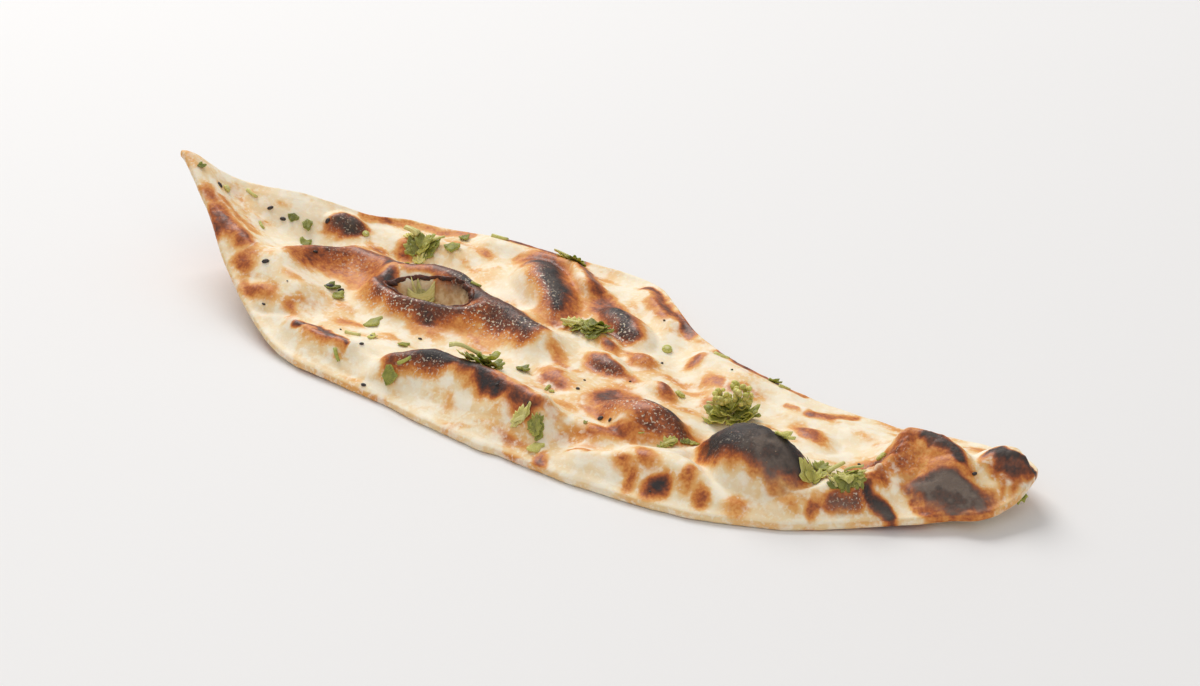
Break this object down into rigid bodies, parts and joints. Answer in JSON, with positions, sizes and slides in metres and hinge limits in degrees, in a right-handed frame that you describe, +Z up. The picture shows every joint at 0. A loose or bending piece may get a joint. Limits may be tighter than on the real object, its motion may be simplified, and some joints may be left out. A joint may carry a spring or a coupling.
{
  "type": "naan bread piece",
  "caption": "Long leaf-shaped piece of tandoor-baked naan with scorched bubbles, a curled point and chopped coriander on top.",
  "frame": {"origin": "on the resting surface, under the middle of the piece's bounding box", "axes": "+X from the curled point to the puffed rim, +Z up out of the scorched top face"},
  "size_m": [0.294, 0.1049, 0.0358],
  "materials": {
    "crust": "baked flour crust, matte, cream with brown and black scorching",
    "coriander": "chopped fresh green leaf and stalk"
  },
  "bodies": {
    "root": {"naan": "crust", "coriander_by_dark_bubble": "coriander", "coriander_on_back_slope": "coriander", "coriander_long_leaf": "coriander", "coriander_middle": "coriander", "coriander_by_peak": "coriander", "coriander_stalk_slice": "coriander", "coriander_front_pair": "coriander", "coriander_on_back_edge": "coriander", "coriander_in_valley": "coriander"}
  },
  "joints": []
}
